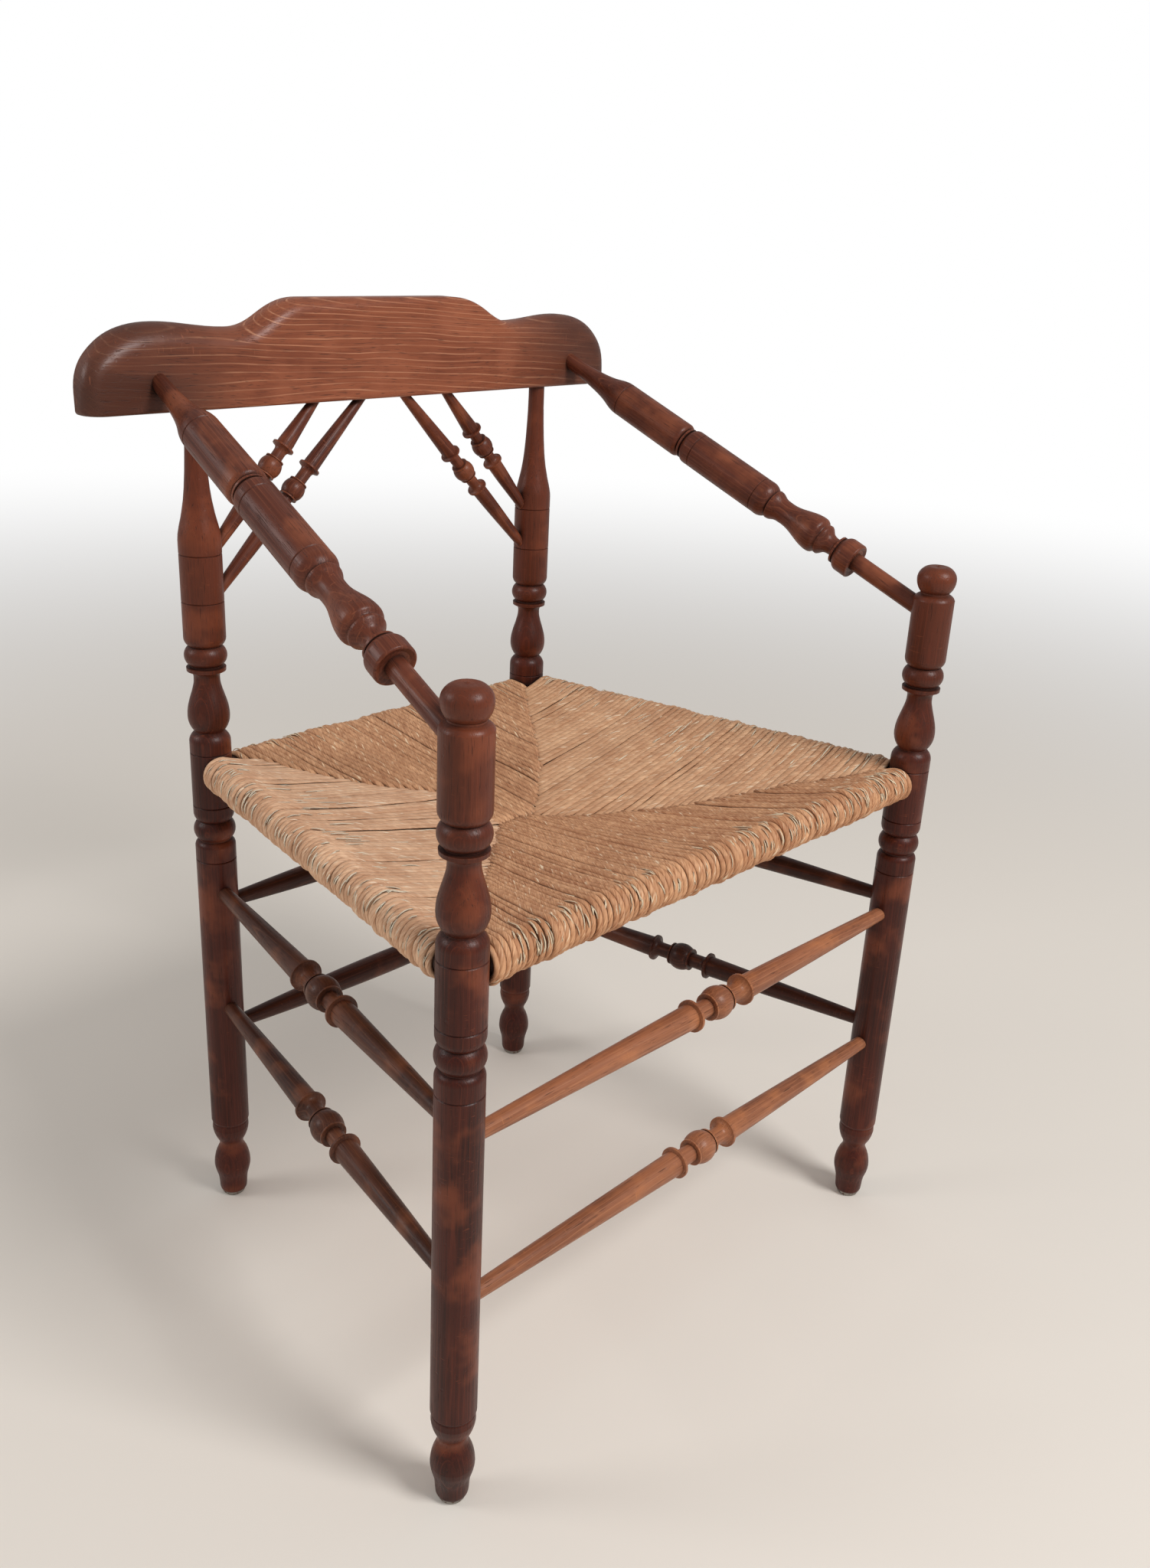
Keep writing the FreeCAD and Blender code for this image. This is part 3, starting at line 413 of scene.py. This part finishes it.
class Panel:
    """One panel of the seat: its rail, the seams round it and the path of each cord."""

    def __init__(self, side):
        first, first_z, second, second_z, self.way_first, self.way_last, pitch, self.flat = PANELS[side]
        self.pitch = pitch * MM
        self.start = CORNERS[first] + Vector((0, 0, first_z * MM))
        self.end = CORNERS[second] + Vector((0, 0, second_z * MM))
        plan = (self.end - self.start).to_2d()
        self.length = plan.length
        self.along = plan.normalized()
        self.inward = Vector((-self.along.y, self.along.x))
        self.edge = [seam_point(place) for place in SEAMS[first] + SEAMS[second][::-1]]

    def rail(self, travel):
        return self.start.lerp(self.end, travel / self.length)

    def way(self, travel):
        angle = math.radians(self.way_first + (self.way_last - self.way_first) * travel / self.length)
        return Vector((math.cos(angle), math.sin(angle)))

    def meeting(self, travel):
        """Where the cord that starts at this place of the rail reaches the seam."""
        base, way = self.rail(travel), self.way(travel)
        for a, b in zip(self.edge, self.edge[1:]):
            run = (b - a).to_2d()
            cross = way.x * run.y - way.y * run.x
            if abs(cross) < 1e-9:
                continue
            gap = a.to_2d() - base.to_2d()
            reach = (gap.x * run.y - gap.y * run.x) / cross
            share = (gap.x * way.y - gap.y * way.x) / cross
            if reach > 0.002 and -1e-6 <= share <= 1 + 1e-6:
                return a.lerp(b, share)
        return None

    def crowding(self, travel, reach):
        """Share of the pitch that is left between the cords at a distance from the rail."""
        way = self.way(travel)
        turn = math.radians(self.way_last - self.way_first) / self.length
        across = Vector((-way.y, way.x))
        return abs(self.along.dot(across) + reach * turn)

    def path(self, travel, roll=ROLL_R, steps=None, sink=0.0):
        """Points of one cord with the way out of the seat at each and the length from the roll:
        from the seam's underside, round the rail, and over the slope to the seam."""
        base, hit = self.rail(travel), self.meeting(travel)
        roll -= sink
        far = (hit - base).to_2d().dot(self.inward)
        high = hit.z - base.z - sink
        slant = (hit - base).to_2d().dot(self.along) / far
        thick = SEAT_THICK * min(1.0, 1.25 - 0.25 * far / (200 * MM)) - 2 * sink
        low = high - max(thick, SEAT_THIN)
        top_turn = math.atan2(high, far) + math.acos(min(1, roll / math.hypot(high, far)))
        low_turn = math.atan2(low, far) - math.acos(min(1, roll / math.hypot(low, far)))
        turns = steps[1] if steps else 14
        points = []

        def put(across, rise, shift, out_across, out_rise, run):
            flat = self.along * shift + self.inward * across
            out = self.inward * out_across
            points.append((base + Vector((flat.x, flat.y, rise)), Vector((out.x, out.y, out_rise)), run))
        outer = max(-5 * MM, min(5 * MM, slant * -roll * 1.2))
        room = (POST_KEEP - travel, self.length - POST_KEEP - travel)
        outer = max(room[0], min(room[1], outer))
        rest = (roll * math.cos(low_turn), roll * math.sin(low_turn))
        count = steps[0] if steps else max(2, int((far - rest[0]) / (13 * MM)))
        for step in range(count):
            share = step / count
            across = far + (rest[0] - far) * share
            rise = low + (rest[1] - low) * share
            put(across, rise, slant * far + (outer - slant * far) * share, 0.12, -1, -0.05 + across * -1)
        for step in range(turns + 1):
            share = step / turns
            turn = low_turn + (top_turn - 2 * math.pi - low_turn) * share
            lean = outer + (slant * roll * math.cos(top_turn) - outer) * share ** 2
            put(roll * math.cos(turn), roll * math.sin(turn), lean, math.cos(turn), math.sin(turn),
                (share - 1) * roll * 3)
        begin = (roll * math.cos(top_turn), roll * math.sin(top_turn))
        count = steps[2] if steps else max(3, int((far - begin[0]) / (5.5 * MM)))
        normal = (math.cos(top_turn), math.sin(top_turn))
        for step in range(1, count + 1):
            share = step / count
            across = begin[0] + (far - begin[0]) * share
            sag = SLOPE_SAG * math.sin(math.pi * share) * min(1, far / 0.15)
            rise = begin[1] + (high - begin[1]) * share - sag
            put(across, rise, slant * across, normal[0], normal[1], across)
        return points


class Winding:
    """Gathers the tubes of one panel into a mesh with a length and a way round for its fibres."""

    def __init__(self):
        self.points, self.faces, self.lengths, self.tints = [], [], [], []

    def tube(self, spine, sides, tint, seed):
        """A closed tube; spine gives place, way out, half width and half height of each ring."""
        first = len(self.points)
        run = 0.0
        around = [2 * math.pi * side / sides for side in range(sides)]
        girth = 12 * MM
        for place, (at, out, wide, high) in enumerate(spine):
            before = spine[max(0, place - 1)][0]
            after = spine[min(len(spine) - 1, place + 1)][0]
            ahead = (after - before).normalized()
            side_way = ahead.cross(out).normalized()
            up = side_way.cross(ahead)
            if place:
                run += (at - spine[place - 1][0]).length
            for angle in around:
                bulge = 1 + 0.10 * noise.noise(Vector((seed * 3.1 + angle, run * 90, seed)))
                self.points.append(at + side_way * (math.cos(angle) * wide * bulge)
                                   + up * (math.sin(angle) * high * bulge))
            self.tints += [tint] * sides
            if place:
                row = first + place * sides
                behind = run - (at - spine[place - 1][0]).length
                for side in range(sides):
                    nxt = (side + 1) % sides
                    self.faces.append((row - sides + side, row - sides + nxt, row + nxt, row + side))
                    near, far = side / sides * girth, (side + 1) / sides * girth
                    self.lengths += [(behind + seed, near), (behind + seed, far),
                                     (run + seed, far), (run + seed, near)]
        rings = len(spine)
        self.faces.append(tuple(reversed(range(first, first + sides))))
        self.faces.append(tuple(range(first + (rings - 1) * sides, first + rings * sides)))
        self.lengths += [(seed, 0.0)] * sides + [(run + seed, 0.0)] * sides

    def body(self, sections):
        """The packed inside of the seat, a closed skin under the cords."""
        first, count = len(self.points), len(sections[0])
        # Marked with the core tint, which the rush material paints in dark brown shade.
        for section in sections:
            self.points += section
            self.tints += [CORE_TINT] * count
        for row in range(len(sections) - 1):
            for place in range(count):
                nxt = (place + 1) % count
                a, b = first + row * count, first + (row + 1) * count
                self.faces.append((a + place, a + nxt, b + nxt, b + place))
                self.lengths += [(0.0, 0.0)] * 4
        last = first + (len(sections) - 1) * count
        self.faces.append(tuple(reversed(range(first, first + count))))
        self.faces.append(tuple(range(last, last + count)))
        self.lengths += [(0.0, 0.0)] * (2 * count)

    def piece(self, name, material):
        mesh = bpy.data.meshes.new(name)
        mesh.from_pydata(self.points, [], self.faces)
        layer = mesh.uv_layers.new(name="cord")
        layer.data.foreach_set("uv", [value for pair in self.lengths for value in pair])
        tint = mesh.attributes.new("tint", "FLOAT", "POINT")
        tint.data.foreach_set("value", self.tints)
        mesh.polygons.foreach_set("use_smooth", [True] * len(mesh.polygons))
        mesh.materials.append(material)
        mesh.validate()
        piece = bpy.data.objects.new(name, mesh)
        bpy.context.scene.collection.objects.link(piece)
        return piece


def rush_material(name, shade, light, fleck, shine):
    """Dry twisted rush: brown and straw streaks along the fibres with pale flecks, and painted dark brown
    shade in the hollows between the cords and on the seat's inside.
    """
    material, bench, shader = begin_material(name)
    cord = bench.lay("UVMap", uv_map="cord")
    place = bench.lay("TexCoord", out=3)
    tint = bench.lay("Attribute", out=2, attribute_name="tint")
    fibres = bench.group(FIBRES, {"Cord": cord, "Place": place, "Twist": 0.32})
    tone = bench.math("ADD", bench.math("MULTIPLY", fibres["Streaks"], 0.62),
                      bench.math("MULTIPLY", tint, 0.26))
    tone = bench.math("ADD", tone, bench.math("MULTIPLY", fibres["Nodes"], 0.22), clamp=True)
    colour = bench.mix(tone, shade, light)
    colour = bench.mix(bench.math("MULTIPLY", fibres["Stains"], 0.3), colour, RUSH_STAIN)
    pale = bench.math("MAXIMUM", bench.math("MULTIPLY", fibres["Flecks"], 0.8),
                      bench.span(tint, 1.2, 1.3))
    colour = bench.mix(pale, colour, fleck)
    # Ambient occlusion paints dark brown shade into the hollows between the cords, but not on the loose
    # leaves.
    open_air = bench.lay("AmbientOcclusion", {"Distance": 0.006}, out=1, samples=6)
    hollow_shade = bench.math("MULTIPLY", bench.span(open_air, 0.12, 0.7, 0.9, 0.0),
                        bench.span(tint, 1.2, 1.3, 1.0, 0.0))
    colour = bench.mix(hollow_shade, colour, RUSH_PAINTED_SHADE)
    # The seat's packed inside gets the same painted shade, so the gaps between the cords read as shadow.
    colour = bench.mix(bench.span(tint, -0.6, -0.4, 1.0, 0.0), colour, RUSH_PAINTED_SHADE)
    bench.feed(shader.inputs["Base Color"], colour)
    bench.feed(shader.inputs["Roughness"], bench.span(fibres["Streaks"], 0, 1, shine + 0.16, shine))
    height = bench.math("ADD", fibres["Streaks"], bench.math("MULTIPLY", fibres["Nodes"], 0.6))
    bump = bench.lay("Bump", {"Strength": 0.7, "Distance": 0.0005, "Height": height})
    bench.feed(shader.inputs["Normal"], bump)
    shader.inputs["Specular IOR Level"].default_value = 0.4
    return material


# Dark brown painted as shade into the seat's hollows and onto its inside
RUSH_PAINTED_SHADE = paint(58, 31, 18)
RUSH_STAIN = paint(158, 98, 60)
# Shade, light, flecks and least roughness of each panel
RUSH_FINISH = {
    "front": (paint(164, 102, 64), paint(240, 186, 140), paint(255, 232, 198), 0.46),
    "right": (paint(184, 130, 92), paint(238, 192, 150), paint(255, 236, 206), 0.46),
    "back": (paint(158, 104, 70), paint(232, 180, 136), paint(252, 224, 186), 0.50),
    "left": (paint(198, 146, 110), paint(246, 204, 166), paint(255, 240, 214), 0.44),
}
# How far the cords dip at the seams, mm, and lap over them; how many loose leaves lie on a panel
SEAM_DIVE = {"front": 0.9, "right": 0.9, "back": 3.0, "left": 0.9}
SEAM_LAP = 2.2 * MM
WISPS = {"front": 340, "right": 240, "back": 130, "left": 220}


def add_wisps(panel, winding, luck, count):
    """Thin pale leaves that lie loose on the cords."""
    along = Vector((panel.along.x, panel.along.y, 0))
    for number in range(count):
        path = panel.path(luck.uniform(WISP_ROOM, panel.length - WISP_ROOM), ROLL_R + WISP_RISE)
        spots = [spot for spot in path if spot[2] > -0.028]
        length = luck.choice((3, 3, 4, 5))
        if len(spots) <= length:
            continue
        first = int((len(spots) - length) * luck.random() ** 1.6)
        drift = luck.gauss(0, 1.6) * MM
        lift = luck.uniform(0.1, 0.8) * MM
        wide = luck.uniform(0.4, 0.85) * MM
        spine = []
        for step, (at, out, run) in enumerate(spots[first:first + length]):
            share = step / (length - 1)
            middle = math.sin(math.pi * share)
            on_slope = min(1.0, max(0.0, run / FLATTEN_RUN))
            up = lift * middle - (0.2 + on_slope * 1.1) * MM
            where = at + along * (drift * share) + out * up
            spine.append((where, out, wide * (0.4 + 0.6 * middle), wide * 0.6))
        winding.tube(spine, 4, WISP_TINT, number * 2.1)


def wind_panel(side):
    """The whole panel: its cords, the loose leaves on them and its packed inside."""
    panel, winding = Panel(side), Winding()
    smooth = 0.07 if panel.flat < 1.5 else 0.0
    luck = random.Random("rush " + side)
    travels, travel = [], POST_KEEP + 1.2 * MM
    while travel < panel.length - POST_KEEP - 0.5 * MM:
        travels.append(travel)
        travel += panel.pitch * luck.uniform(0.86, 1.14)
    for number, travel in enumerate(travels):
        lift, plump, tint = luck.gauss(0, 0.35) * MM, luck.uniform(0.9, 1.14), luck.random()
        roll = ROLL_R + luck.gauss(0, 0.3) * MM
        roll += 0.9 * MM * noise.noise(Vector((number * 0.16, 0.3, len(side))))
        path = panel.path(travel, roll)
        last_run = path[-1][2]
        spine = []
        for at, out, run in path:
            fan = panel.crowding(travel, max(0.0, run)) if run > -0.04 else 1.0
            wide = panel.pitch * (0.53 + (smooth if run > 0 else 0.0)) * plump * fan
            flatten = min(1.0, max(0.0, run / FLATTEN_RUN))
            high = CORD_R * plump + (panel.flat * MM - CORD_R) * flatten
            wobble = 0.45 * MM * noise.noise(Vector((number * 0.7, run * 45, 4.0)))
            slow = 1.1 * MM * noise.noise(Vector((at.x * 22, at.y * 22, 1.0)))
            sway = 0.5 * MM * noise.noise(Vector((number * 0.31, run * 30, 9.0)))
            ending = max(0.0, 1 - (last_run - run) / (8 * MM))
            dive = SEAM_DIVE[side] * MM * ending ** 2 if run > 0 else 0.0
            sideways = Vector((panel.along.x, panel.along.y, 0)) * sway
            onward = Vector((panel.inward.x, panel.inward.y, 0)) * (SEAM_LAP * ending if run > 0 else 0.0)
            where = at + out * (lift + wobble + slow * flatten) + sideways + onward - Vector((0, 0, dive))
            spine.append((where, out, wide * (1 - 0.1 * ending), high))
        winding.tube(spine, 8, tint, number * 1.37 + 0.5)
    add_wisps(panel, winding, luck, WISPS[side])
    body_rows = max(6, int(panel.length / (12 * MM)))
    first, last = POST_KEEP - 1.5 * MM, panel.length - POST_KEEP + 1.5 * MM
    sections = []
    for row in range(body_rows + 1):
        path = panel.path(first + (last - first) * row / body_rows, steps=CORE_STEPS, sink=CORE_SINK)
        sections.append([at for at, _, _ in path])
    winding.body(sections)
    piece = winding.piece("rush_weave_" + side, rush_material("rush_" + side, *RUSH_FINISH[side]))
    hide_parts("rush_" + side)
    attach(piece, "root")


# Floor and light

def lay_floor():
    """A pale disc that turns into white light, for the camera, away from the chair."""
    reach, corners = 14.0, 96
    turns = [2 * math.pi * corner / corners for corner in range(corners)]
    ring = [(reach * math.cos(turn), reach * math.sin(turn), 0) for turn in turns]
    mesh = bpy.data.meshes.new("floor")
    mesh.from_pydata(ring, [], [tuple(range(corners))])
    floor = bpy.data.objects.new("floor", mesh)
    bpy.context.scene.collection.objects.link(floor)
    material, bench, shader = begin_material("floor_pale")
    place = bench.lay("TexCoord", out=3)
    away = bench.span(bench.vector("LENGTH", place, out=1), 1.0, 4.5)
    colour = bench.mix(away, paint(240, 232, 222), paint(252, 250, 248))
    bench.feed(shader.inputs["Base Color"], colour)
    shader.inputs["Roughness"].default_value = 0.8
    shader.inputs["Specular IOR Level"].default_value = 0.2
    glow = bench.lay("Emission", {"Color": (1, 1, 1, 1), "Strength": 1.0})
    seen = bench.lay("LightPath", out=0)
    blend = bench.lay("MixShader", (bench.math("MULTIPLY", seen, away), shader.outputs[0], glow))
    bench.feed(material.node_tree.nodes["Material Output"].inputs["Surface"], blend)
    mesh.materials.append(material)


def lamp(name, place, target, size, power):
    data = bpy.data.lights.new(name, "AREA")
    data.shape, data.size, data.energy = "DISK", size, power
    holder = bpy.data.objects.new(name, data)
    place, target = Vector(place), Vector(target)
    turn = (target - place).to_track_quat("-Z", "Y").to_matrix().to_4x4()
    holder.matrix_world = Matrix.Translation(place) @ turn
    bpy.context.scene.collection.objects.link(holder)


def light_room():
    """A white surround, dimmer as a light than as a background, a key lamp and a lamp behind."""
    bpy.context.scene.view_settings.view_transform = "Standard"
    world = bpy.data.worlds.new("room")
    world.use_nodes = True
    bpy.context.scene.world = world
    bench = Bench(world.node_tree)
    path = world.node_tree.nodes.new("ShaderNodeLightPath").outputs
    seen = bench.math("ADD", path["Is Camera Ray"], path["Is Transmission Ray"], clamp=True)
    ground = world.node_tree.nodes["Background"]
    ground.inputs["Color"].default_value = (1.0, 1.0, 1.0, 1)
    bench.feed(ground.inputs["Strength"], bench.lay("MapRange", (seen, 0.0, 1.0, 0.40, 1.0)))
    lamp("key", (0.35, -2.3, 2.6), (0, 0, 0.5), 1.1, 62)
    lamp("window", (-2.3, 1.7, 1.9), (0, 0, 0.6), 1.2, 20)


place_camera()
dress_wood()
dress_glides()
for side in PANELS:
    wind_panel(side)
lay_floor()
light_room()
